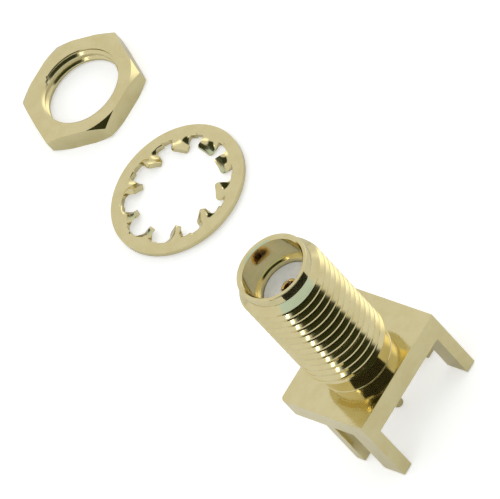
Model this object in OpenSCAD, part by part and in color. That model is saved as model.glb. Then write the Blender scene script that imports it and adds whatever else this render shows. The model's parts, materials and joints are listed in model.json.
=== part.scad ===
// SMA jack that solders to the edge of a circuit board, with the hex nut and
// the internal-tooth lock washer that come off it lying beside it.
// Millimetres. The origin is on the barrel's axis at the underside of the flange,
// which meets the board's edge. +Z runs up the barrel to its open mouth, and the
// front legs are flush with the -Y face.

/* [Flange] */
// Width of the flange along X
flange_w = 9.4; // [8.2:0.1:14]
// Depth of the flange along Y
flange_d = 7.7; // [7.2:0.1:14]
// Thickness of the flange
flange_t = 1.8; // [1:0.1:4]
// Radius of the two upright corners at the back of the flange
flange_corner_r = 0.4; // [0.1:0.05:1]

/* [Legs] */
// Length of the legs under the flange
leg_len = 4.6; // [2:0.1:8]
// Width of a leg along X
leg_w = 0.95; // [0.5:0.05:1.5]
// Depth along Y of the two front legs
front_leg_d = 1.9; // [1:0.1:2.2]
// Depth along Y of the two back legs
back_leg_d = 0.8; // [0.5:0.1:2]
// Gap between the front and the back legs, which the board slides into
board_gap = 1.8; // [1:0.1:2.4]
// Radius that takes the corners off a leg tip
leg_tip_r = 0.22; // [0.05:0.01:0.24]
// Radius of the fillet at the root of a leg
leg_root_r = 0.25; // [0.05:0.05:0.5]

/* [Barrel] */
// Major diameter of the outside thread
thread_d = 6.35; // [6.1:0.05:7]
// Length of the barrel from the flange to the mouth
barrel_len = 11.9; // [8:0.1:30]
// Depth of the plain neck below the crests of the thread
neck_relief = 0.475; // [0.3:0.025:0.6]
// Length of the neck
neck_len = 1.7; // [0.8:0.1:4]
// Radius of the fillet at the foot of the neck
neck_fillet_r = 0.15; // [0.05:0.05:0.4]
// Depth of the plain nose in front of the thread below its crests
nose_relief = 0.495; // [0.3:0.005:0.55]
// Length of the nose
nose_len = 0.7; // [0.3:0.1:2]

/* [Mating face] */
// Bore that the plug's ferrule slides into
bore_d = 4.6; // [4.4:0.05:4.8]
// Depth of that bore below the mouth
bore_len = 2.25; // [1.5:0.05:3.5]
// Chamfer at the mouth of the bore
mouth_chamfer = 0.12; // [0.05:0.01:0.2]
// Depth of the insulator's face below the floor of the bore
insulator_recess = 0.35; // [0.1:0.05:1]

/* [Insulator and contact] */
// Diameter of the hole that holds the insulator
insulator_d = 4.1; // [3.6:0.05:4.3]
// Diameter of the contact inside the insulator
contact_d = 1.27; // [1.2:0.01:1.5]
// Height of the contact's front end above the insulator's face
contact_proud = 0.1; // [0:0.05:0.3]
// Diameter of the socket in the contact's front end
socket_d = 0.94; // [0.9:0.01:1]
// Depth of the socket
socket_len = 3; // [2.4:0.1:4]
// Number of slots that split the socket into fingers
socket_slots = 4; // [2:2:4]
// Width of a slot
slot_w = 0.14; // [0.05:0.01:0.16]
// Depth of a slot
slot_len = 2.1; // [1:0.1:2.3]
// Diameter of the barb that grips the insulator
barb_d = 1.7; // [1.6:0.05:2.2]
// Length of the barb
barb_len = 0.7; // [0.4:0.1:1.5]
// Distance from the insulator's back face to the barb
barb_up = 2.4; // [1:0.1:3.5]
// Diameter of the solder pin
pin_d = 0.76; // [0.5:0.02:1.1]
// Length of the solder pin below the flange
pin_len = 4.5; // [1:0.1:4.5]
// Radius that rounds the tip of the pin
pin_tip_r = 0.24; // [0.05:0.01:0.25]

/* [Hex nut] */
// Width of the nut across flats
nut_af = 8.4; // [7.8:0.1:12]
// Thickness of the nut
nut_t = 1.6; // [1.4:0.1:5]
// Height of the nut's thread, which its bore leaves inside the barrel's crests
nut_thread_h = 0.22; // [0.2:0.01:0.4]
// How far the mouths of the nut's bore open beyond the barrel's crests
nut_sink = 0.25; // [0.05:0.01:0.4]
// Angle between the nut's faces and the countersinks at the mouths of its bore
nut_sink_angle = 30; // [20:1:50]
// Diameter of the round that the chamfer leaves on each face, with the corners cut off it
nut_face_d = 8.6; // [7.6:0.1:13]
// Angle of the chamfer that cuts the six corners
nut_chamfer_angle = 30; // [15:1:40]

/* [Lock washer] */
// Outer diameter of the washer
washer_d = 10.7; // [9.6:0.1:16]
// Thickness of the sheet that the washer is stamped from
washer_t = 0.4; // [0.2:0.05:0.6]
// Width of the plain rim
washer_rim = 0.9; // [0.5:0.05:1.2]
// Number of teeth
tooth_count = 10; // [6:1:12]
// Width of a tooth
tooth_w = 1.25; // [0.6:0.05:1.3]
// Angle that a tooth is twisted through from its root to its tip
tooth_twist = 42; // [10:1:60]
// Radius of the corners at the tip of a tooth
tooth_corner_r = 0.28; // [0.05:0.01:0.3]
// Radius of the fillets where a tooth leaves the rim
tooth_root_fillet_r = 0.25; // [0.05:0.05:0.35]

/* [Fits] */
// Radial clearance between the insulator and the hole it is pressed into
insulator_gap = 0.01; // [0.005:0.005:0.05]
// Radial clearance between the contact and its hole in the insulator
contact_gap = 0.01; // [0.005:0.005:0.05]
// Radial clearance between the thread and the tips of the washer's teeth
washer_gap = 0.2; // [0.05:0.01:0.3]

/* [Where the loose pieces lie] */
// Distance of the washer's centre to the right of the barrel's axis
washer_x = 9.3; // [0:0.1:40]
// Distance of the washer's centre behind the barrel's axis
washer_y = 27.9; // [14:0.1:60]
// Turn of the first tooth from the X axis
washer_turn = 33; // [0:1:36]
// Distance of the nut's centre to the right of the barrel's axis
nut_x = 14; // [0:0.1:60]
// Distance of the nut's centre behind the barrel's axis
nut_y = 40.7; // [30:0.1:90]
// Turn of the nut's first corner from the X axis
nut_turn = 1; // [-30:1:30]

/* [Hidden] */
$fn = 96;

// Overlap of a cut past the surface it opens
cut = 0.5;

// The leg tips and the loose pieces stand on the ground.
ground_z = -leg_len;
mouth_z = flange_t + barrel_len;

thread_r = thread_d / 2;
neck_r = thread_r - neck_relief;
nose_r = thread_r - nose_relief;

// A 30 degree run-out joins the thread to the neck, a 45 degree lead-in to the nose.
thread_runout = neck_relief * tan(30);
nose_z = mouth_z - nose_len;
thread_head_z = nose_z - nose_relief;

bore_floor_z = mouth_z - bore_len;
insulator_face_z = bore_floor_z - insulator_recess;
contact_face_z = insulator_face_z + contact_proud;

nut_corner_r = nut_af / 2 / cos(30);
nut_face_r = nut_face_d / 2;
nut_chamfer_h = (nut_corner_r - nut_face_r) * tan(nut_chamfer_angle);
nut_bore_r = thread_r - nut_thread_h;
nut_countersink_r = thread_r + nut_sink;

washer_rim_r = washer_d / 2 - washer_rim;
tooth_tip_r = thread_r + washer_gap;
tooth_root_r = washer_rim_r + 0.25;
tooth_len = tooth_root_r - tooth_tip_r;
// The washer lies on the low corners of its teeth, which are lowest at the tips.
washer_mid_z = ground_z + tooth_w / 2 * sin(tooth_twist) + washer_t / 2 * cos(tooth_twist);

// ---- body: flange, legs and barrel, one turned and milled piece ----

// Rectangle on [0, w] x [0, d] with its two far corners (y = d) rounded.
module rounded_far_corners(w, d, r) {
    square([w, d - r]);
    translate([r, 0])
        square([w - 2 * r, d]);
    for (x = [r, w - r])
        translate([x, d - r])
            circle(r);
}

module flange_plate() {
    translate([-flange_w / 2, -flange_d / 2, 0])
        linear_extrude(flange_t)
            rounded_far_corners(flange_w, flange_d, flange_corner_r);
}

// Fillet in the inner corner between a leg and the flange, along the leg's depth.
module leg_root(d) {
    translate([leg_w, 0, -leg_root_r])
        difference() {
            cube([leg_root_r, d, leg_root_r]);
            translate([leg_root_r, d / 2, 0])
                rotate([90, 0, 0])
                    cylinder(r = leg_root_r, h = d + 2 * cut, center = true);
        }
}

// A leg on [0, leg_w] x [0, d] that hangs from the flange, its tip rounded in both
// upright planes.
module leg(d) {
    intersection() {
        translate([0, d, 0])
            rotate([90, 0, 0])
                linear_extrude(d)
                    mirror([0, 1])
                        rounded_far_corners(leg_w, leg_len, leg_tip_r);
        rotate([90, 0, 90])
            linear_extrude(leg_w)
                mirror([0, 1])
                    rounded_far_corners(d, leg_len, leg_tip_r);
    }
    leg_root(d);
}

module leg_row(y, d) {
    for (side = [0, 1])
        mirror([side, 0, 0])
            translate([-flange_w / 2, y, 0])
                leg(d);
}

// Outside of the barrel, from inside the flange to the mouth.
module barrel() {
    rotate_extrude()
        polygon([
            [0, flange_t / 2],
            [neck_r, flange_t / 2],
            [neck_r, flange_t + neck_len - thread_runout],
            [thread_r, flange_t + neck_len],
            [thread_r, thread_head_z],
            [nose_r, nose_z],
            [nose_r, mouth_z],
            [0, mouth_z]
        ]);
}

module neck_fillet() {
    translate([0, 0, flange_t])
        rotate_extrude()
            difference() {
                translate([neck_r - neck_fillet_r, 0])
                    square([2 * neck_fillet_r, neck_fillet_r]);
                translate([neck_r + neck_fillet_r, neck_fillet_r])
                    circle(neck_fillet_r);
            }
}

// Everything that is bored out: mouth, mating bore and the insulator's hole.
module body_bore() {
    rotate_extrude()
        polygon([
            [0, -cut],
            [insulator_d / 2, -cut],
            [insulator_d / 2, bore_floor_z],
            [bore_d / 2, bore_floor_z],
            [bore_d / 2, mouth_z - mouth_chamfer],
            [bore_d / 2 + mouth_chamfer, mouth_z],
            [bore_d / 2 + mouth_chamfer, mouth_z + cut],
            [0, mouth_z + cut]
        ]);
}

module body() {
    color([0.85, 0.74, 0.45])
        difference() {
            union() {
                flange_plate();
                leg_row(-flange_d / 2, front_leg_d);
                leg_row(-flange_d / 2 + front_leg_d + board_gap, back_leg_d);
                barrel();
                neck_fillet();
            }
            body_bore();
        }
}

// ---- insulator and centre contact ----

// Outline of the contact, made larger by gap for the hole that takes it.
module contact_outline(gap) {
    r = contact_d / 2 + gap;
    barb_r = barb_d / 2 + gap;
    pin_r = pin_d / 2 + gap;
    polygon([
        [0, -pin_len],
        [pin_r - pin_tip_r, -pin_len],
        for (a = [-75:15:0])
            [pin_r - pin_tip_r + pin_tip_r * cos(a), -pin_len + pin_tip_r * (1 + sin(a))],
        [pin_r, 0],
        [r, 0],
        [r, barb_up],
        [barb_r, barb_up],
        [r, barb_up + barb_len],
        [r, contact_face_z],
        [0, contact_face_z]
    ]);
}

module insulator() {
    color([0.93, 0.93, 0.91])
        difference() {
            cylinder(r = insulator_d / 2 - insulator_gap, h = insulator_face_z);
            rotate_extrude()
                contact_outline(contact_gap);
            translate([0, 0, -cut])
                cylinder(r = contact_d / 2 + contact_gap, h = 2 * cut);
        }
}

// Blind socket with a chamfered mouth and a drill point.
module socket() {
    r = socket_d / 2;
    lip = (contact_d - socket_d) / 4;
    translate([0, 0, contact_face_z])
        rotate_extrude()
            polygon([
                [0, -socket_len - r * tan(30)],
                [r, -socket_len],
                [r, -lip],
                [r + lip, 0],
                [r + lip, cut],
                [0, cut]
            ]);
}

module socket_cuts() {
    for (i = [0:socket_slots / 2 - 1])
        rotate([0, 0, 45 + i * 360 / socket_slots])
            translate([-contact_d, -slot_w / 2, contact_face_z - slot_len])
                cube([2 * contact_d, slot_w, slot_len + cut]);
}

module contact() {
    color([0.86, 0.62, 0.3])
        difference() {
            rotate_extrude()
                contact_outline(0);
            socket();
            socket_cuts();
        }
}

// ---- nut, taken off ----

// Revolved blank that takes the six corners off both faces of the hexagon.
module nut_blank() {
    rotate_extrude()
        polygon([
            [0, 0],
            [nut_face_r, 0],
            [nut_corner_r + cut, nut_chamfer_h + cut * tan(nut_chamfer_angle)],
            [nut_corner_r + cut, nut_t - nut_chamfer_h - cut * tan(nut_chamfer_angle)],
            [nut_face_r, nut_t],
            [0, nut_t]
        ]);
}

module nut_hole() {
    sink = (nut_countersink_r - nut_bore_r) * tan(nut_sink_angle);
    rotate_extrude()
        polygon([
            [0, -cut],
            [nut_countersink_r, -cut],
            [nut_countersink_r, 0],
            [nut_bore_r, sink],
            [nut_bore_r, nut_t - sink],
            [nut_countersink_r, nut_t],
            [nut_countersink_r, nut_t + cut],
            [0, nut_t + cut]
        ]);
}

module hex_nut() {
    color([0.83, 0.76, 0.52])
        translate([nut_x, nut_y, ground_z])
            rotate([0, 0, nut_turn])
                difference() {
                    intersection() {
                        cylinder(r = nut_corner_r, h = nut_t, $fn = 6);
                        nut_blank();
                    }
                    nut_hole();
                }
}

// ---- internal-tooth lock washer, taken off ----

// Plan of a tooth that points inwards along -X from its root in the rim.
module tooth_plan() {
    translate([tooth_root_r, 0])
        rotate([0, 0, 90])
            translate([-tooth_w / 2, 0])
                rounded_far_corners(tooth_w, tooth_len, tooth_corner_r);
}

// The blade is twisted about its own middle line, from flat in the rim to the full
// angle at its tip, and cut to the plan of the tooth.
module tooth() {
    intersection() {
        translate([tooth_root_r, 0, 0])
            rotate([0, -90, 0])
                linear_extrude(tooth_len, twist = tooth_twist, slices = 6, $fn = 4)
                    square([washer_t, tooth_w], center = true);
        translate([0, 0, -tooth_w])
            linear_extrude(2 * tooth_w)
                tooth_plan();
    }
}

module washer_ring() {
    difference() {
        cylinder(d = washer_d, h = washer_t, center = true);
        cylinder(r = washer_rim_r, h = washer_t + 2 * cut, center = true);
    }
}

// Fillets in the plane of the rim, on both sides of a tooth. Each is what an arc that
// touches the rim and the tooth's side leaves of the corner between them.
module tooth_root_fillets() {
    arc_y = tooth_w / 2 + tooth_root_fillet_r;
    arc_x = sqrt(pow(washer_rim_r - tooth_root_fillet_r, 2) - pow(arc_y, 2));
    reach = (washer_rim_r + washer_rim / 4) / norm([arc_x, arc_y]);
    for (side = [0, 1])
        mirror([0, side, 0])
            linear_extrude(washer_t, center = true)
                difference() {
                    polygon([
                        [arc_x, arc_y],
                        [arc_x, tooth_w / 4],
                        [washer_rim_r + washer_rim / 4, tooth_w / 4],
                        [arc_x * reach, arc_y * reach]
                    ]);
                    translate([arc_x, arc_y])
                        circle(tooth_root_fillet_r);
                }
}

module lock_washer() {
    color([0.8, 0.74, 0.52])
        translate([washer_x, washer_y, washer_mid_z])
            rotate([0, 0, washer_turn]) {
                washer_ring();
                for (i = [0:tooth_count - 1])
                    rotate([0, 0, i * 360 / tooth_count]) {
                        tooth();
                        tooth_root_fillets();
                    }
            }
}

body();
insulator();
contact();
hex_nut();
lock_washer();
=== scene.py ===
"""Gold-plated SMA jack for the edge of a circuit board, its hex nut and its lock washer."""

import json
import math

import bmesh
import bpy
from mathutils import Matrix, Vector


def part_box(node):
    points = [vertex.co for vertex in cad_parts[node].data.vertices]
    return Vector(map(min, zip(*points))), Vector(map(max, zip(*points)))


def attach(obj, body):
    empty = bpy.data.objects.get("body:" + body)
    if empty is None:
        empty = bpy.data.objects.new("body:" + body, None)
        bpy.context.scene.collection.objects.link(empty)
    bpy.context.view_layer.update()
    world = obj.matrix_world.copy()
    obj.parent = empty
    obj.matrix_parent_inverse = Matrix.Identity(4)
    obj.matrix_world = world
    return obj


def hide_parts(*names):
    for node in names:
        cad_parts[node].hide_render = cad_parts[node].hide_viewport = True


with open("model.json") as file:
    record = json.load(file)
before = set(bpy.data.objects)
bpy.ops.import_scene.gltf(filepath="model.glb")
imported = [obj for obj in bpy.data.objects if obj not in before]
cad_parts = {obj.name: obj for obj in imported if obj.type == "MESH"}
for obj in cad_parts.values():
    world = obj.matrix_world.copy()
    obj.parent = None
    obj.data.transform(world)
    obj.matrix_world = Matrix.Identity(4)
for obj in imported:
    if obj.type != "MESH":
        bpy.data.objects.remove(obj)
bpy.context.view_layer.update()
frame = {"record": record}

# ---- sizes, in metres ----

MM = 0.001
FULL_TURN = 2 * math.pi

body_low, body_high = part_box("body")
insulator_low, insulator_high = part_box("insulator")
contact_low, contact_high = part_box("contact")
nut_low, nut_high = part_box("hex_nut")
washer_low, washer_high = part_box("lock_washer")
mounts = {m["name"]: m for m in frame["record"]["mounts"]}

GROUND_Z = body_low.z
MOUTH_Z = body_high.z
FLANGE_HALF_W = body_high.x
FLANGE_HALF_D = body_high.y
FLANGE_T = 1.8 * MM
FLANGE_CORNER_R = 0.4 * MM

LEG_W = 0.95 * MM
LEG_TIP_R = 0.22 * MM
LEG_ROOT_R = 0.25 * MM
# Front and back limits of the two rows of legs along Y
LEG_ROWS = ((-3.85 * MM, -1.95 * MM), (-0.15 * MM, 0.65 * MM))

CREST_R = mounts["coax_thread"]["dims"]["r_mm"] * MM
NECK_R = 2.7 * MM
NECK_TOP_Z = FLANGE_T + 1.7 * MM
NECK_FILLET_R = 0.15 * MM
NOSE_R = 2.68 * MM
NOSE_Z = MOUTH_Z - 0.7 * MM
THREAD_START_Z = NOSE_Z - 0.36 * MM
BORE_R = mounts["mating_bore"]["dims"]["r_mm"] * MM
BORE_FLOOR_Z = MOUTH_Z - 2.25 * MM
MOUTH_CHAMFER = 0.12 * MM
SEAT_R = 2.05 * MM

PITCH = 25.4 * MM / 36
THREAD_DEPTH = 0.39 * MM
# Height of a crest where the helix crosses the +X side
THREAD_PHASE_Z = 11.39 * MM

EDGE_BREAK = 0.05 * MM
LATHE_STEPS = 144
GAP = 0.5 * MM


# ---- shaping ----

def arc_corner(before, corner, after, radius, segments):
    """Points of an arc of that radius in place of a corner of an outline."""
    a, c, b = (Vector(p) for p in (before, corner, after))
    to_a, to_b = (a - c).normalized(), (b - c).normalized()
    half = to_a.angle(to_b) / 2
    if radius <= 0 or half > math.radians(89.5):
        return [corner]
    reach = min(radius / math.tan(half), 0.49 * (a - c).length, 0.49 * (b - c).length)
    radius = reach * math.tan(half)
    centre = c + (to_a + to_b).normalized() * radius / math.sin(half)
    start, end = c + to_a * reach - centre, c + to_b * reach - centre
    sweep = start.angle_signed(end)
    points = []
    for i in range(segments + 1):
        turn = Matrix.Rotation(-sweep * i / segments, 2)
        points.append(tuple(centre + turn @ start))
    return points


def rounded(outline, segments=5, closed=False):
    """An outline of (x, y, radius) points as (x, y) points, its corners rounded."""
    points = []
    count = len(outline)
    for i, (x, y, radius) in enumerate(outline):
        if not closed and i in (0, count - 1):
            points.append((x, y))
            continue
        before, after = outline[i - 1][:2], outline[(i + 1) % count][:2]
        points += arc_corner(before, (x, y), after, radius, segments)
    return points


def chain(bm, points, closed=False):
    """Vertices and edges of a line through (radius, height) points in the XZ plane."""
    verts = [bm.verts.new((r, 0, z)) for r, z in points]
    pairs = list(zip(verts, verts[1:]))
    if closed:
        pairs.append((verts[-1], verts[0]))
    return verts + [bm.edges.new(p) for p in pairs]


def weld(bm, distance=1e-7):
    bmesh.ops.remove_doubles(bm, verts=bm.verts[:], dist=distance)
    bmesh.ops.recalc_face_normals(bm, faces=bm.faces[:])


def lathe(points, closed=False, steps=LATHE_STEPS):
    """A turned solid about the Z axis."""
    bm = bmesh.new()
    geometry = chain(bm, points, closed)
    bmesh.ops.spin(bm, geom=geometry, cent=(0, 0, 0), axis=(0, 0, 1), dvec=(0, 0, 0),
                   angle=FULL_TURN, steps=steps, use_merge=True, use_duplicate=False)
    weld(bm)
    return bm


def block(low, high):
    bm = bmesh.new()
    low, high = Vector(low), Vector(high)
    bmesh.ops.create_cube(bm, size=1)
    bmesh.ops.scale(bm, vec=high - low, verts=bm.verts[:])
    bmesh.ops.translate(bm, vec=(low + high) / 2, verts=bm.verts[:])
    return bm


def round_edges(bm, radius, segments, choose):
    edges = [e for e in bm.edges if choose(e)]
    bmesh.ops.bevel(bm, geom=edges, offset=radius, offset_type="OFFSET", segments=segments,
                    profile=0.5, affect="EDGES", material=-1, clamp_overlap=True)


def sharp_edge(e, least=math.radians(40)):
    return len(e.link_faces) == 2 and e.calc_face_angle() > least


def piece_from(bm, name):
    mesh = bpy.data.meshes.new(name)
    bm.to_mesh(mesh)
    bm.free()
    piece = bpy.data.objects.new(name, mesh)
    bpy.context.scene.collection.objects.link(piece)
    return piece


def combine(piece, tool_mesh, operation):
    """Joins, cuts or crops a piece with a closed tool mesh, which is used up."""
    tool = piece_from(tool_mesh, "tool")
    change = piece.modifiers.new("combine", "BOOLEAN")
    change.operation = operation
    change.solver = "MANIFOLD"
    change.object = tool
    graph = bpy.context.evaluated_depsgraph_get()
    mesh = bpy.data.meshes.new_from_object(piece.evaluated_get(graph))
    piece.modifiers.clear()
    old = piece.data
    piece.data = mesh
    bpy.data.meshes.remove(old)
    bpy.data.objects.remove(tool)


def finish_piece(piece, node, material, crease=32):
    """Cleans a made piece, shades it, and lets it stand for its node."""
    bm = bmesh.new()
    bm.from_mesh(piece.data)
    bmesh.ops.remove_doubles(bm, verts=bm.verts[:], dist=2e-7)
    bmesh.ops.dissolve_degenerate(bm, dist=2e-7, edges=bm.edges[:])
    bmesh.ops.dissolve_limit(bm, angle_limit=math.radians(0.3), verts=bm.verts[:],
                             edges=bm.edges[:], use_dissolve_boundaries=False, delimit={"NORMAL"})
    bm.to_mesh(piece.data)
    bm.free()
    mesh = piece.data
    mesh.name = piece.name
    mesh.shade_smooth()
    mesh.set_sharp_from_angle(angle=math.radians(crease))
    even = piece.modifiers.new("even_normals", "WEIGHTED_NORMAL")
    even.keep_sharp = True
    mesh.materials.clear()
    mesh.materials.append(material)
    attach(piece, "root")
    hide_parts(node)


# ---- threads ----

def thread_outline(crest_r, depth, crest_flat, root_flat, low_z, turns):
    """Section of a 60 degree thread through that many turns, from one root up."""
    rise = depth * math.tan(math.radians(30))
    slack = PITCH - crest_flat - root_flat - 2 * rise
    crest_flat += slack
    half_root = root_flat / 2
    outline = []
    for turn in range(turns):
        z = low_z + turn * PITCH
        outline += [
            (crest_r - depth, z + half_root, 0.05 * MM),
            (crest_r, z + half_root + rise, 0.02 * MM),
            (crest_r, z + half_root + rise + crest_flat, 0.02 * MM),
            (crest_r - depth, z + PITCH - half_root, 0.05 * MM),
        ]
    first = (crest_r - depth, low_z, 0)
    last = (crest_r - depth, low_z + turns * PITCH, 0)
    return rounded([first, *outline, last], segments=3)


def threaded_rod(points, steps=LATHE_STEPS):
    """A closed right-hand screw with that section, its ends drawn in to the axis."""
    bm = bmesh.new()
    geometry = chain(bm, points)
    bmesh.ops.spin(bm, geom=geometry, cent=(0, 0, 0), axis=(0, 0, 1),
                   dvec=(0, 0, PITCH / steps), angle=FULL_TURN, steps=steps,
                   use_merge=False, use_duplicate=False)
    bmesh.ops.remove_doubles(bm, verts=bm.verts[:], dist=1e-7)
    middle = (points[0][1] + points[-1][1] + PITCH) / 2
    rim = [e for e in bm.edges if len(e.link_faces) == 1]
    for above in (False, True):
        end = [e for e in rim if (e.verts[0].co.z > middle) == above]
        cap = bmesh.ops.extrude_edge_only(bm, edges=end)
        tip = [v for v in cap["geom"] if isinstance(v, bmesh.types.BMVert)]
        level = sum(v.co.z for v in tip) / len(tip)
        bmesh.ops.pointmerge(bm, verts=tip, merge_co=(0, 0, level))
    weld(bm)
    return bm


# ---- body ----

def flange_plate():
    bm = block((-FLANGE_HALF_W, -FLANGE_HALF_D, 0), (FLANGE_HALF_W, FLANGE_HALF_D, FLANGE_T))
    round_edges(bm, FLANGE_CORNER_R, 6, lambda e: abs(e.verts[0].co.z - e.verts[1].co.z) > GAP
                and e.verts[0].co.y > 0)
    round_edges(bm, EDGE_BREAK, 2, sharp_edge)
    return bm


def leg(side, front, back):
    """A leg with a rounded tip, which reaches a little way up into the flange."""
    outer, inner = side * FLANGE_HALF_W, side * (FLANGE_HALF_W - LEG_W)
    bm = block((min(outer, inner), front, GROUND_Z), (max(outer, inner), back, GAP))
    round_edges(bm, LEG_TIP_R, 6, lambda e: max(v.co.z for v in e.verts) < GROUND_Z + GAP / 10)
    round_edges(bm, EDGE_BREAK, 2, lambda e: sharp_edge(e)
                and abs(e.verts[0].co.z - e.verts[1].co.z) > GAP)
    return bm


def leg_root(side, front, back):
    """The fillet between a leg's inner side and the flange."""
    inner = FLANGE_HALF_W - LEG_W
    corner = rounded([
        (inner + GAP / 4, -LEG_ROOT_R, 0),
        (inner, -LEG_ROOT_R, 0),
        (inner, 0, LEG_ROOT_R),
        (inner - LEG_ROOT_R, 0, 0),
        (inner - LEG_ROOT_R, GAP / 4, 0),
        (inner + GAP / 4, GAP / 4, 0),
    ], segments=8, closed=True)
    bm = bmesh.new()
    face = bm.faces.new([bm.verts.new((side * x, front, z)) for x, z in corner])
    wall = bmesh.ops.extrude_face_region(bm, geom=[face])
    moved = [v for v in wall["geom"] if isinstance(v, bmesh.types.BMVert)]
    bmesh.ops.translate(bm, vec=(0, back - front, 0), verts=moved)
    bmesh.ops.recalc_face_normals(bm, faces=bm.faces[:])
    return bm


def barrel_blank():
    """The turned outside, from inside the flange to the mouth, before the thread is cut."""
    runout = (CREST_R - NECK_R) * math.tan(math.radians(30))
    flare = NECK_R + NECK_FILLET_R
    return lathe(rounded([
        (0, FLANGE_T / 2, 0),
        (flare + GAP / 50, FLANGE_T / 2, 0),
        (flare, FLANGE_T, 0),
        (NECK_R, FLANGE_T, NECK_FILLET_R),
        (NECK_R, NECK_TOP_Z - runout, EDGE_BREAK),
        (CREST_R, NECK_TOP_Z, EDGE_BREAK / 2),
        (CREST_R, NOSE_Z - (CREST_R - NOSE_R), EDGE_BREAK / 2),
        (NOSE_R, NOSE_Z, EDGE_BREAK),
        (NOSE_R, MOUTH_Z, EDGE_BREAK),
        (0, MOUTH_Z, 0),
    ]))


def thread_crop():
    """What the cut thread leaves: a screw, between all of the neck's foot and of the lead-in."""
    turns = 18
    low = THREAD_PHASE_Z - PITCH / 2 - 13 * PITCH
    rod = piece_from(threaded_rod(thread_outline(
        CREST_R + 0.005 * MM, THREAD_DEPTH, PITCH / 8, PITCH / 5, low, turns)), "thread_crop")
    foot = (FLANGE_T + NECK_TOP_Z) / 2
    for low, high in ((0, foot), (THREAD_START_Z, MOUTH_Z + GAP)):
        combine(rod, lathe([(0, low), (2 * CREST_R, low), (2 * CREST_R, high), (0, high)]), "UNION")
    bm = bmesh.new()
    bm.from_mesh(rod.data)
    bpy.data.objects.remove(rod)
    return bm


def body_bore():
    """Mouth, mating bore, its floor and the insulator's seat, as one cutter."""
    return lathe(rounded([
        (0, -GAP, 0),
        (SEAT_R, -GAP, 0),
        (SEAT_R, BORE_FLOOR_Z, EDGE_BREAK),
        (BORE_R, BORE_FLOOR_Z, EDGE_BREAK / 2),
        (BORE_R, MOUTH_Z - MOUTH_CHAMFER, EDGE_BREAK / 2),
        (BORE_R + MOUTH_CHAMFER, MOUTH_Z, EDGE_BREAK / 2),
        (BORE_R + MOUTH_CHAMFER, MOUTH_Z + GAP, 0),
        (0, MOUTH_Z + GAP, 0),
    ]))


def make_body(material):
    body = piece_from(barrel_blank(), "jack_body")
    combine(body, thread_crop(), "INTERSECT")
    combine(body, flange_plate(), "UNION")
    for side in (-1, 1):
        for front, back in LEG_ROWS:
            combine(body, leg(side, front, back), "UNION")
            combine(body, leg_root(side, front + EDGE_BREAK, back - EDGE_BREAK), "UNION")
    combine(body, body_bore(), "DIFFERENCE")
    finish_piece(body, "body", material)
    return body


# ---- insulator and contact ----

CONTACT_R = 0.635 * MM
BARB_R = 0.85 * MM
BARB_LOW_Z = 2.4 * MM
BARB_LEN = 0.7 * MM
PIN_R = mounts["solder_pin"]["dims"]["r_mm"] * MM
PIN_TIP_R = 0.24 * MM
SOCKET_R = mounts["contact_socket"]["dims"]["r_mm"] * MM
SOCKET_LEN = 3 * MM
SLOT_W = 0.14 * MM
SLOT_LEN = 2.1 * MM


def make_insulator(material):
    face_z = insulator_high.z
    outer_r = insulator_high.x
    hole_r = CONTACT_R + 0.01 * MM
    insulator = piece_from(lathe(rounded([
        (hole_r, 0, 0.05 * MM),
        (outer_r, 0, 0.08 * MM),
        (outer_r, face_z, 0.08 * MM),
        (hole_r, face_z, 0.04 * MM),
        (hole_r, BARB_LOW_Z + BARB_LEN, 0),
        (BARB_R + 0.01 * MM, BARB_LOW_Z, 0),
        (hole_r, BARB_LOW_Z, 0),
    ], closed=True), closed=True, steps=96), "ptfe_insulator")
    finish_piece(insulator, "insulator", material)
    return insulator


def make_contact(material):
    face_z = contact_high.z
    lip = (CONTACT_R - SOCKET_R) / 2
    contact = piece_from(lathe(rounded([
        (0, contact_low.z, 0),
        (PIN_R, contact_low.z, PIN_TIP_R),
        (PIN_R, 0, 0.03 * MM),
        (CONTACT_R, 0, 0.03 * MM),
        (CONTACT_R, BARB_LOW_Z, 0),
        (BARB_R, BARB_LOW_Z, 0.02 * MM),
        (CONTACT_R, BARB_LOW_Z + BARB_LEN, 0),
        (CONTACT_R, face_z, 0.05 * MM),
        (SOCKET_R + lip, face_z, 0.03 * MM),
        (SOCKET_R, face_z - lip, 0.03 * MM),
        (SOCKET_R, face_z - SOCKET_LEN, 0),
        (0, face_z - SOCKET_LEN - SOCKET_R * math.tan(math.radians(30)), 0),
    ]), steps=64), "centre_contact")
    for turn in (45, 135):
        slot = block((-2 * CONTACT_R, -SLOT_W / 2, face_z - SLOT_LEN),
                     (2 * CONTACT_R, SLOT_W / 2, face_z + GAP))
        bmesh.ops.rotate(slot, cent=(0, 0, 0), verts=slot.verts[:],
                         matrix=Matrix.Rotation(math.radians(turn), 3, "Z"))
        combine(contact, slot, "DIFFERENCE")
    finish_piece(contact, "contact", material)
    return contact


# ---- hex nut ----

NUT_AF = 8.4 * MM
NUT_TURN = math.radians(1)
NUT_FACE_R = 4.3 * MM
NUT_CHAMFER = math.radians(30)
NUT_BORE_R = mounts["nut_thread"]["dims"]["r_mm"] * MM
NUT_SINK_R = CREST_R + 0.25 * MM
NUT_SINK_ANGLE = math.radians(30)


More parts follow.
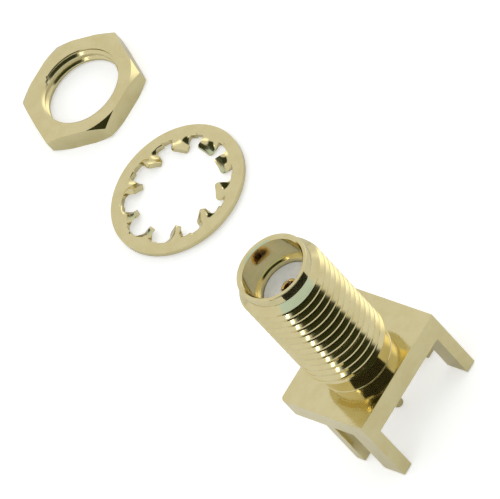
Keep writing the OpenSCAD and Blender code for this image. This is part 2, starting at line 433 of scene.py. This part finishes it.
def make_nut(material):
    thick = nut_high.z - nut_low.z
    corner_r = NUT_AF / 2 / math.cos(math.radians(30))
    bm = bmesh.new()
    ring = bmesh.ops.create_circle(bm, cap_ends=True, radius=corner_r, segments=6)
    bmesh.ops.rotate(bm, cent=(0, 0, 0), verts=ring["verts"],
                     matrix=Matrix.Rotation(math.radians(30), 3, "Z"))
    top = bmesh.ops.extrude_face_region(bm, geom=bm.faces[:])
    moved = [v for v in top["geom"] if isinstance(v, bmesh.types.BMVert)]
    bmesh.ops.translate(bm, vec=(0, 0, thick), verts=moved)
    weld(bm)
    round_edges(bm, EDGE_BREAK, 2, lambda e: abs(e.verts[0].co.z - e.verts[1].co.z) > GAP)
    nut = piece_from(bm, "hex_nut_piece")
    drop = (corner_r + GAP - NUT_FACE_R) * math.tan(NUT_CHAMFER)
    combine(nut, lathe(rounded([
        (0, 0, 0),
        (NUT_FACE_R, 0, EDGE_BREAK),
        (corner_r + GAP, drop, 0),
        (corner_r + GAP, thick - drop, 0),
        (NUT_FACE_R, thick, EDGE_BREAK),
        (0, thick, 0),
    ])), "INTERSECT")
    low = -2.5 * PITCH
    combine(nut, threaded_rod(thread_outline(
        CREST_R + 0.03 * MM, CREST_R + 0.03 * MM - NUT_BORE_R, PITCH / 8, PITCH / 4, low, 7)),
        "DIFFERENCE")
    slope = math.tan(NUT_SINK_ANGLE)
    for base, up in ((0, 1), (thick, -1)):
        combine(nut, lathe([
            (0, base - up * GAP),
            (NUT_SINK_R + GAP / slope, base - up * GAP),
            (NUT_SINK_R, base),
            (0, base + up * NUT_SINK_R * slope),
        ]), "DIFFERENCE")
    nut.data.transform(Matrix.Translation(((nut_low.x + nut_high.x) / 2,
                                           (nut_low.y + nut_high.y) / 2, nut_low.z))
                       @ Matrix.Rotation(NUT_TURN, 4, "Z"))
    finish_piece(nut, "hex_nut", material)
    return nut


# ---- lock washer ----

WASHER_T = 0.4 * MM
WASHER_RIM = 0.9 * MM
WASHER_TURN = math.radians(33)
TOOTH_COUNT = 10
TOOTH_W = 1.25 * MM
TOOTH_GAP = 0.2 * MM
TOOTH_TWIST = math.radians(42)
TOOTH_CORNER_R = 0.28 * MM
TOOTH_FILLET_R = 0.28 * MM
TOOTH_COLUMNS = 12
TOOTH_ROWS = 22
NOTCH_COLUMNS = 10
RIM_ROWS = 5


def ease(t):
    t = min(max(t, 0), 1)
    return t * t * (3 - 2 * t)


def tooth_half_width(depth, length):
    """Half of a tooth's width at that depth in from the rim: flared root, rounded tip."""
    half = TOOTH_W / 2
    if depth < TOOTH_FILLET_R:
        half += TOOTH_FILLET_R - math.sqrt(TOOTH_FILLET_R ** 2 - (TOOTH_FILLET_R - depth) ** 2)
    left = length - depth
    if left < TOOTH_CORNER_R:
        half -= TOOTH_CORNER_R - math.sqrt(TOOTH_CORNER_R ** 2 - (TOOTH_CORNER_R - left) ** 2)
    return half


def washer_sheet(outer_r, rim_r, tip_r):
    """One tenth of the stamped sheet, flat: its piece of rim and its tooth."""
    bm = bmesh.new()
    pitch = FULL_TURN / TOOTH_COUNT
    root_half = math.asin(tooth_half_width(0, rim_r - tip_r) / rim_r)
    columns = TOOTH_COLUMNS + NOTCH_COLUMNS
    rim = bmesh.ops.create_grid(bm, x_segments=columns, y_segments=RIM_ROWS, size=0.5)
    for v in rim["verts"]:
        step = (v.co.x + 0.5) * columns
        if step <= TOOTH_COLUMNS:
            across = (2 * step / TOOTH_COLUMNS - 1) * math.sin(root_half)
            angle = math.asin(across)
        else:
            angle = root_half + (pitch - 2 * root_half) * (step - TOOTH_COLUMNS) / NOTCH_COLUMNS
        r = rim_r + (outer_r - rim_r) * (v.co.y + 0.5)
        v.co = (r * math.cos(angle), r * math.sin(angle), 0)
    tooth = bmesh.ops.create_grid(bm, x_segments=TOOTH_COLUMNS, y_segments=TOOTH_ROWS, size=0.5)
    length = rim_r - tip_r
    for v in tooth["verts"]:
        along = 0.5 - v.co.y
        depth = length * (along - 0.75 * math.sin(FULL_TURN * along) / FULL_TURN)
        r = rim_r - depth
        angle = math.asin(2 * v.co.x * tooth_half_width(depth, length) / r)
        v.co = (r * math.cos(angle), r * math.sin(angle), 0)
    weld(bm)
    return bm


def twist_teeth(bm, rim_r):
    """Turns each tooth about its own radial line, the most from the middle to the tip."""
    pitch = FULL_TURN / TOOTH_COUNT
    for v in bm.verts:
        r = math.hypot(v.co.x, v.co.y)
        turn = TOOTH_TWIST * ease((rim_r + 0.15 * MM - r) / (0.85 * MM))
        nearest = pitch * round(math.atan2(v.co.y, v.co.x) / pitch)
        if turn:
            v.co = (Matrix.Rotation(nearest, 3, "Z") @ Matrix.Rotation(turn, 3, "X")
                    @ Matrix.Rotation(-nearest, 3, "Z") @ v.co)


def make_washer(material):
    outer_r = (washer_high.x - washer_low.x) / 2
    rim_r = outer_r - WASHER_RIM
    bm = washer_sheet(outer_r, rim_r, CREST_R + TOOTH_GAP)
    part = FULL_TURN / TOOTH_COUNT
    bmesh.ops.spin(bm, geom=bm.verts[:] + bm.edges[:] + bm.faces[:], cent=(0, 0, 0),
                   axis=(0, 0, 1), dvec=(0, 0, 0), angle=FULL_TURN - part,
                   steps=TOOTH_COUNT - 1, use_merge=False, use_duplicate=True)
    bmesh.ops.remove_doubles(bm, verts=bm.verts[:], dist=1e-6)
    top = bmesh.ops.extrude_face_region(bm, geom=bm.faces[:])
    moved = [v for v in top["geom"] if isinstance(v, bmesh.types.BMVert)]
    bmesh.ops.translate(bm, vec=(0, 0, WASHER_T), verts=moved)
    bmesh.ops.translate(bm, vec=(0, 0, -WASHER_T / 2), verts=bm.verts[:])
    weld(bm, 1e-6)
    round_edges(bm, 0.06 * MM, 2, lambda e: sharp_edge(e, math.radians(60)))
    twist_teeth(bm, rim_r)
    washer = piece_from(bm, "lock_washer_piece")
    washer.data.transform(Matrix.Translation((washer_low + washer_high) / 2)
                          @ Matrix.Rotation(WASHER_TURN, 4, "Z"))
    finish_piece(washer, "lock_washer", material)
    return washer


# ---- finishes ----

class Finish:
    """A node material, built by short calls that each return an output socket."""

    def __init__(self, name):
        self.material = bpy.data.materials.new(name)
        self.material.use_nodes = True
        self.nodes = self.material.node_tree.nodes
        self.links = self.material.node_tree.links
        self.shader = self.nodes["Principled BSDF"]
        self.coords = self.nodes.new("ShaderNodeTexCoord").outputs["Object"]

    def put(self, socket, value):
        if isinstance(value, bpy.types.NodeSocket):
            self.links.new(value, socket)
        else:
            socket.default_value = value

    def centred(self, centre=(0, 0, 0), scale=(1, 1, 1)):
        place = self.nodes.new("ShaderNodeMapping")
        place.vector_type = "POINT"
        self.put(place.inputs["Vector"], self.coords)
        place.inputs["Location"].default_value = [-c * s for c, s in zip(centre, scale)]
        place.inputs["Scale"].default_value = scale
        return place.outputs["Vector"]

    def math(self, operation, a, b=0.0, clamp=False):
        made = self.nodes.new("ShaderNodeMath")
        made.operation = operation
        made.use_clamp = clamp
        self.put(made.inputs[0], a)
        self.put(made.inputs[1], b)
        return made.outputs[0]

    def split(self, vector):
        made = self.nodes.new("ShaderNodeSeparateXYZ")
        self.put(made.inputs[0], vector)
        return made.outputs

    def join(self, x, y, z):
        made = self.nodes.new("ShaderNodeCombineXYZ")
        for socket, value in zip(made.inputs, (x, y, z)):
            self.put(socket, value)
        return made.outputs[0]

    def noise(self, vector, scale, detail=4.0, roughness=0.6):
        made = self.nodes.new("ShaderNodeTexNoise")
        self.put(made.inputs["Vector"], vector)
        made.inputs["Scale"].default_value = scale
        made.inputs["Detail"].default_value = detail
        made.inputs["Roughness"].default_value = roughness
        return made.outputs["Fac"]

    def ramp(self, value, low, high, out_low=0.0, out_high=1.0):
        made = self.nodes.new("ShaderNodeMapRange")
        made.interpolation_type = "SMOOTHSTEP"
        self.put(made.inputs["Value"], value)
        made.inputs["From Min"].default_value = low
        made.inputs["From Max"].default_value = high
        made.inputs["To Min"].default_value = out_low
        made.inputs["To Max"].default_value = out_high
        return made.outputs[0]

    def blend(self, factor, a, b):
        made = self.nodes.new("ShaderNodeMix")
        made.data_type = "RGBA"
        self.put(made.inputs["Factor"], factor)
        self.put(made.inputs["A"], a)
        self.put(made.inputs["B"], b)
        return made.outputs["Result"]

    def bump(self, height, depth, strength=1.0, below=None):
        made = self.nodes.new("ShaderNodeBump")
        self.put(made.inputs["Height"], height)
        made.inputs["Distance"].default_value = depth
        made.inputs["Strength"].default_value = strength
        if below is not None:
            self.put(made.inputs["Normal"], below)
        return made.outputs["Normal"]


def turned_marks(finish, centre):
    """Fine rings about an upright axis, as a lathe tool leaves them."""
    x, y, z = finish.split(finish.centred(centre))
    radius = finish.math("SQRT", finish.math("ADD", finish.math("MULTIPLY", x, x),
                                             finish.math("MULTIPLY", y, y)))
    angle = finish.math("ARCTAN2", y, x)
    place = finish.join(radius, z, finish.math("MULTIPLY", angle, 0.2 * MM))
    return finish.noise(place, 9000, 3.0, 0.7)


def plated(name, tint, deep_tint, roughness, centre=(0, 0, 0), cut=0.0012 * MM, top=None):
    """Thin gold plating over machined metal: tint drifts, and the tool's marks show.

    top is a height, and a tint painted on from there up: painted reflected light.
    """
    finish = Finish(name)
    shader = finish.shader
    cloud = finish.noise(finish.centred(centre), 900, 4.0, 0.55)
    grit = finish.noise(finish.centred(centre), 14000, 2.0, 0.6)
    rings = turned_marks(finish, centre)
    shader.inputs["Metallic"].default_value = 1.0
    gold = finish.blend(finish.ramp(cloud, 0.3, 0.75), (*tint, 1), (*deep_tint, 1))
    if top:
        height, painted_reflection_tint = top
        z = finish.split(finish.coords)[2]
        # Painted reflection: from that height up the base colour takes the given tint
        gold = finish.blend(finish.ramp(z, height, height + MM), gold, (*painted_reflection_tint, 1))
    finish.put(shader.inputs["Base Color"], gold)
    uneven = finish.math("ADD", finish.ramp(rings, 0.3, 0.7, -0.03, 0.03),
                         finish.ramp(cloud, 0.3, 0.7, roughness - 0.02, roughness + 0.03))
    finish.put(shader.inputs["Roughness"], uneven)
    surface = finish.bump(rings, cut)
    finish.put(shader.inputs["Normal"], finish.bump(grit, cut / 4, below=surface))
    return finish.material


def ptfe():
    finish = Finish("white_ptfe")
    shader = finish.shader
    rings = turned_marks(finish, (0, 0, 0))
    cloud = finish.noise(finish.coords, 2500, 3.0, 0.5)
    finish.put(shader.inputs["Base Color"],
               finish.blend(finish.ramp(cloud, 0.3, 0.7), (0.88, 0.88, 0.87, 1), (0.82, 0.82, 0.82, 1)))
    finish.put(shader.inputs["Roughness"], finish.ramp(cloud, 0.3, 0.7, 0.45, 0.6))
    shader.inputs["Subsurface Weight"].default_value = 0.25
    shader.inputs["Subsurface Radius"].default_value = (0.5 * MM, 0.5 * MM, 0.45 * MM)
    shader.inputs["Subsurface Scale"].default_value = 1.0
    finish.put(shader.inputs["Normal"], finish.bump(rings, 0.004 * MM))
    return finish.material


# ---- pieces ----

PALE_GOLD = (0.775, 0.685, 0.39)
PALE_GOLD_DEEP = (0.725, 0.63, 0.335)
# Painted reflection: the richer, orange gold painted on the contact inside the gold bore, for light
# bounced off the gold walls
BORE_REFLECTION_GOLD = (0.95, 0.66, 0.30)
RICH_GOLD_DEEP = (0.85, 0.52, 0.20)

nut_centre = (nut_low + nut_high) / 2
washer_centre = (washer_low + washer_high) / 2
make_body(plated("gold_on_turned_brass", PALE_GOLD, PALE_GOLD_DEEP, 0.09, cut=0.002 * MM))
make_insulator(ptfe())
# The contact's part from the board line up is painted a richer gold, a painted reflection of the gold
# bore around it
make_contact(plated("gold_on_contact", PALE_GOLD, PALE_GOLD_DEEP, 0.24, top=(0, BORE_REFLECTION_GOLD)))
make_nut(plated("gold_on_nut", PALE_GOLD, PALE_GOLD_DEEP, 0.15, centre=nut_centre))
make_washer(plated("gold_on_washer", PALE_GOLD, PALE_GOLD_DEEP, 0.15, centre=washer_centre))


# ---- floor, light and camera ----

FLOOR_SIZE = 1.2


def lit_white(tree, plain, for_eye):
    """Mixes a plain shader with what the camera, metal and glass are shown instead."""
    path = tree.nodes.new("ShaderNodeLightPath")
    seen = tree.nodes.new("ShaderNodeMath")
    seen.operation = "MAXIMUM"
    tree.links.new(path.outputs["Is Camera Ray"], seen.inputs[0])
    shiny = tree.nodes.new("ShaderNodeMath")
    shiny.operation = "MAXIMUM"
    tree.links.new(path.outputs["Is Glossy Ray"], shiny.inputs[0])
    tree.links.new(path.outputs["Is Transmission Ray"], shiny.inputs[1])
    tree.links.new(shiny.outputs[0], seen.inputs[1])
    mix = tree.nodes.new("ShaderNodeMixShader")
    tree.links.new(seen.outputs[0], mix.inputs["Fac"])
    tree.links.new(plain, mix.inputs[1])
    tree.links.new(for_eye, mix.inputs[2])
    return mix.outputs[0]


def make_floor():
    bm = bmesh.new()
    bmesh.ops.create_grid(bm, x_segments=1, y_segments=1, size=FLOOR_SIZE / 2)
    bmesh.ops.translate(bm, vec=(0, 0, GROUND_Z), verts=bm.verts[:])
    floor = piece_from(bm, "floor")
    material = bpy.data.materials.new("white_paper")
    material.use_nodes = True
    tree = material.node_tree
    tree.nodes.remove(tree.nodes["Principled BSDF"])
    paper = tree.nodes.new("ShaderNodeBsdfDiffuse")
    paper.inputs["Color"].default_value = (0.75, 0.75, 0.75, 1)
    glow = tree.nodes.new("ShaderNodeEmission")
    glow.inputs["Color"].default_value = (1, 1, 1, 1)
    path = tree.nodes.new("ShaderNodeLightPath")
    strength = tree.nodes.new("ShaderNodeMapRange")
    tree.links.new(path.outputs["Is Camera Ray"], strength.inputs["Value"])
    strength.inputs["To Min"].default_value = 0.06
    strength.inputs["To Max"].default_value = 0.45
    tree.links.new(strength.outputs[0], glow.inputs["Strength"])
    lifted = tree.nodes.new("ShaderNodeAddShader")
    tree.links.new(paper.outputs[0], lifted.inputs[0])
    tree.links.new(glow.outputs[0], lifted.inputs[1])
    surface = lit_white(tree, paper.outputs[0], lifted.outputs[0])
    tree.links.new(surface, tree.nodes["Material Output"].inputs["Surface"])
    floor.data.materials.append(material)


def toward(plan_angle, elevation):
    """Direction at that angle from +X in plan and that height above the horizon, degrees."""
    plan, up = math.radians(plan_angle), math.radians(elevation)
    return (math.cos(plan) * math.cos(up), math.sin(plan) * math.cos(up), math.sin(up))


# What the metal sees around it: plan angle and height of a patch's middle, half of its
# width and height, how far its edge fades, all in degrees, and its light
FRONT = 249.5
TENT = (0.80, 0.80, 0.79)
ROOM = (
    (FRONT, 40, 44, 10, 4, (0.60, 0.78, 0.92)),
    (FRONT, 73, 29, 24, 3, (0.03, 0.035, 0.012)),
    (FRONT + 120, 34, 12, 20, 8, (1.6, 1.55, 1.4)),
    (FRONT - 70, 54, 1.8, 1.8, 1.2, (6.0, 6.0, 5.5)),
)


def room_patch(tree, view, patch, behind):
    """The tone of a direction, where one patch of the room lies over what is behind it."""
    plan_angle, height, half_width, half_height, fade, light = patch
    middle = Vector(toward(plan_angle, height))
    side = Vector((0, 0, 1)).cross(middle).normalized()
    up = middle.cross(side)

    def math_node(operation, *values):
        made = tree.nodes.new("ShaderNodeMath")
        made.operation = operation
        for socket, value in zip(made.inputs, values):
            if isinstance(value, bpy.types.NodeSocket):
                tree.links.new(value, socket)
            else:
                socket.default_value = value
        return made.outputs[0]

    def along(axis):
        made = tree.nodes.new("ShaderNodeVectorMath")
        made.operation = "DOT_PRODUCT"
        tree.links.new(view, made.inputs[0])
        made.inputs[1].default_value = axis
        return made.outputs["Value"]

    ahead = along(middle)
    inside = []
    for axis, half in ((side, half_width), (up, half_height)):
        off = math_node("ABSOLUTE", math_node("ARCTAN2", along(axis), ahead))
        edge = tree.nodes.new("ShaderNodeMapRange")
        edge.interpolation_type = "SMOOTHSTEP"
        tree.links.new(off, edge.inputs["Value"])
        edge.inputs["From Min"].default_value = math.radians(half + fade)
        edge.inputs["From Max"].default_value = math.radians(half - fade)
        inside.append(edge.outputs[0])
    mix = tree.nodes.new("ShaderNodeMix")
    mix.data_type = "RGBA"
    tree.links.new(math_node("MULTIPLY", *inside), mix.inputs["Factor"])
    if isinstance(behind, bpy.types.NodeSocket):
        tree.links.new(behind, mix.inputs["A"])
    else:
        mix.inputs["A"].default_value = behind
    mix.inputs["B"].default_value = (*light, 1)
    return mix.outputs["Result"]


def make_world():
    world = bpy.data.worlds.new("white_tent")
    bpy.context.scene.world = world
    world.use_nodes = True
    tree = world.node_tree
    plain = tree.nodes["Background"]
    coords = tree.nodes.new("ShaderNodeTexCoord")
    tone = (*TENT, 1)
    for patch in ROOM:
        tone = room_patch(tree, coords.outputs["Generated"], patch, tone)
    tree.links.new(tone, plain.inputs["Color"])
    white = tree.nodes.new("ShaderNodeBackground")
    path = tree.nodes.new("ShaderNodeLightPath")
    mix = tree.nodes.new("ShaderNodeMixShader")
    tree.links.new(path.outputs["Is Camera Ray"], mix.inputs["Fac"])
    tree.links.new(plain.outputs[0], mix.inputs[1])
    tree.links.new(white.outputs[0], mix.inputs[2])
    white.inputs["Color"].default_value = (1, 1, 1, 1)
    tree.links.new(mix.outputs[0], tree.nodes["World Output"].inputs["Surface"])


def flag(name, radius, low_z, high_z, first_angle, last_angle):
    """A curved black card about the Z axis, which only the metal's reflections show."""
    bm = bmesh.new()
    grid = bmesh.ops.create_grid(bm, x_segments=48, y_segments=1, size=0.5)
    for v in grid["verts"]:
        angle = math.radians(first_angle + (last_angle - first_angle) * (v.co.x + 0.5))
        height = low_z + (high_z - low_z) * (v.co.y + 0.5)
        v.co = (radius * math.cos(angle), radius * math.sin(angle), height)
    card = piece_from(bm, name)
    material = bpy.data.materials.new(name + "_black")
    material.use_nodes = True
    shader = material.node_tree.nodes["Principled BSDF"]
    shader.inputs["Base Color"].default_value = (0.02, 0.022, 0.012, 1)
    shader.inputs["Roughness"].default_value = 0.9
    card.data.materials.append(material)
    card.visible_camera = False
    card.visible_diffuse = False
    card.visible_shadow = False


def softbox(name, place, aim, size, power):
    light = bpy.data.lights.new(name, "AREA")
    light.shape = "RECTANGLE"
    light.size, light.size_y = size
    light.energy = power
    lamp = bpy.data.objects.new(name, light)
    lamp.location = place
    lamp.visible_glossy = False
    lamp.rotation_euler = (Vector(aim) - Vector(place)).to_track_quat("-Z", "Y").to_euler()
    bpy.context.scene.collection.objects.link(lamp)


def make_camera():
    place = Vector((-145.96, -390.40, 436.60)) * MM
    aim = Vector((1.80, 5.45, 10.54)) * MM
    roll = math.radians(43.236)
    data = bpy.data.cameras.new("camera")
    data.sensor_width = 36
    data.lens = 639.83
    data.clip_start = 0.01
    camera = bpy.data.objects.new("camera", data)
    look = (aim - place).to_track_quat("-Z", "Y")
    camera.matrix_world = (Matrix.Translation(place) @ look.to_matrix().to_4x4()
                           @ Matrix.Rotation(-roll, 4, "Z"))
    bpy.context.scene.collection.objects.link(camera)
    bpy.context.scene.camera = camera


make_floor()
make_world()
flag("neck_flag", 12 * MM, 7.5 * MM, 15.5 * MM, FRONT - 58, FRONT + 44)
flag("nose_flag", 12 * MM, 3.65 * MM, 7.4 * MM, FRONT - 31, FRONT + 53)
softbox("key_softbox", (-0.08, -0.1, 0.42), (0, 0, 0), (0.3, 0.3), 0.6)
make_camera()
bpy.context.scene.view_settings.view_transform = "Standard"
